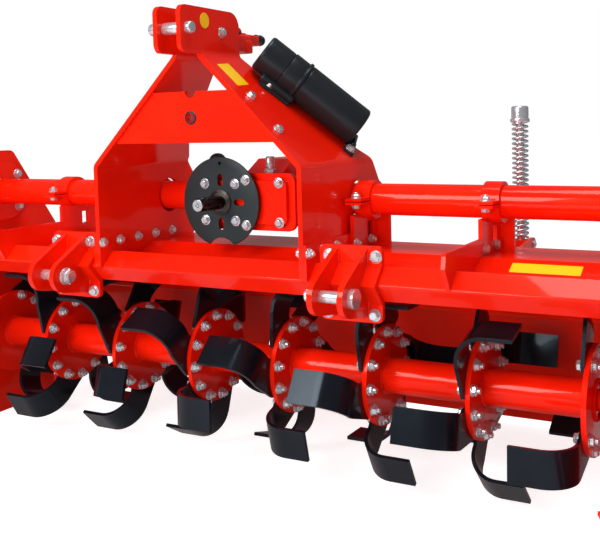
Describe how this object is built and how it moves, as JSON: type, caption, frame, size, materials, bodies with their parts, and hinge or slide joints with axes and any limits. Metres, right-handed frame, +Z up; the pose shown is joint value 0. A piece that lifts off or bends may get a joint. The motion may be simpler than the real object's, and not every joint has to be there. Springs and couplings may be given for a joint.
{
  "type": "rotary tiller",
  "caption": "Tractor-mounted rotary tiller: a tined rotor under a hood, with gearbox, three-point mast and hinged trailing board.",
  "frame": {"origin": "the middle of the footprint, on the ground", "axes": "+Z up; the tractor is on the -Y side; X along the rotor, with the side gear case on the -X end"},
  "size_m": [2.092, 0.8942, 1.195],
  "materials": {
    "red_paint": "gloss",
    "tine_black": "gloss",
    "guard_grey": "satin",
    "dark_steel": "oiled",
    "zinc": "zinc plated",
    "black_plastic": "satin"
  },
  "bodies": {
    "root": {"board_hinges": "red_paint", "canister": "black_plastic", "cross_tube_left": "red_paint", "cross_tube_right": "red_paint", "end_plate_left": "red_paint", "end_plate_right": "red_paint", "front_beam": "red_paint", "gearbox": "red_paint", "gearbox_cover": "red_paint", "gearbox_side_flange": "red_paint", "guard_plate": "guard_grey", "gussets": "red_paint", "hitch_bracket_left": "red_paint", "hitch_bracket_right": "red_paint", "hitch_pins": "zinc", "hood": "red_paint", "input_seal": "dark_steel", "mast_cross_plate": "red_paint", "mast_feet": "red_paint", "mast_plate_left": "red_paint", "mast_plate_right": "red_paint", "mast_rear_block": "red_paint", "rod_brackets": "red_paint", "rotor_bearing": "red_paint", "side_gear_case": "red_paint", "skids": "red_paint", "top_link_pin": "zinc", "tube_clamps": "red_paint"},
    "rotor": {"rotor_drum": "red_paint", "tines_1": "tine_black", "tines_2": "tine_black", "tines_3": "tine_black", "tines_4": "tine_black", "tines_5": "tine_black", "tines_6": "tine_black", "tines_7": "tine_black", "tines_8": "tine_black"},
    "input_shaft": {"input_shaft": "dark_steel"},
    "trailing_board": {"trailing_board": "red_paint"},
    "rod_guides": {"rod_guides": "red_paint"},
    "spring_rods": {"spring_rods": "zinc", "springs": "zinc"}
  },
  "joints": [
    {"name": "rotor_spin", "type": "hinge", "parent": "root", "child": "rotor", "pos_m": [0, -0.07613, 0.275], "axis": [1, 0, 0], "continuous": true},
    {"name": "input_spin", "type": "hinge", "parent": "root", "child": "input_shaft", "pos_m": [0, -0.29513, 0.717], "axis": [0, -1, 0], "continuous": true},
    {"name": "board_swing", "type": "hinge", "parent": "root", "child": "trailing_board", "pos_m": [0, 0.26787, 0.375], "axis": [1, 0, 0], "range_deg": [0, 40]},
    {"name": "guide_swivel", "type": "hinge", "parent": "root", "child": "rod_guides", "pos_m": [0, 0.32223, 0.565], "axis": [1, 0, 0], "range_deg": [0, 6.94]},
    {"name": "rod_slide", "type": "slide", "parent": "rod_guides", "child": "spring_rods", "axis": [0, 0, 1], "range_m": [0, 0.04701]}
  ],
  "couplings": [
    {"joint": "input_spin", "follows": "rotor_spin", "ratio": 2.4},
    {"joint": "guide_swivel", "follows": "board_swing", "ratio": 0.1732},
    {"joint": "rod_slide", "follows": "board_swing", "m_per_rad": 0.06719}
  ]
}
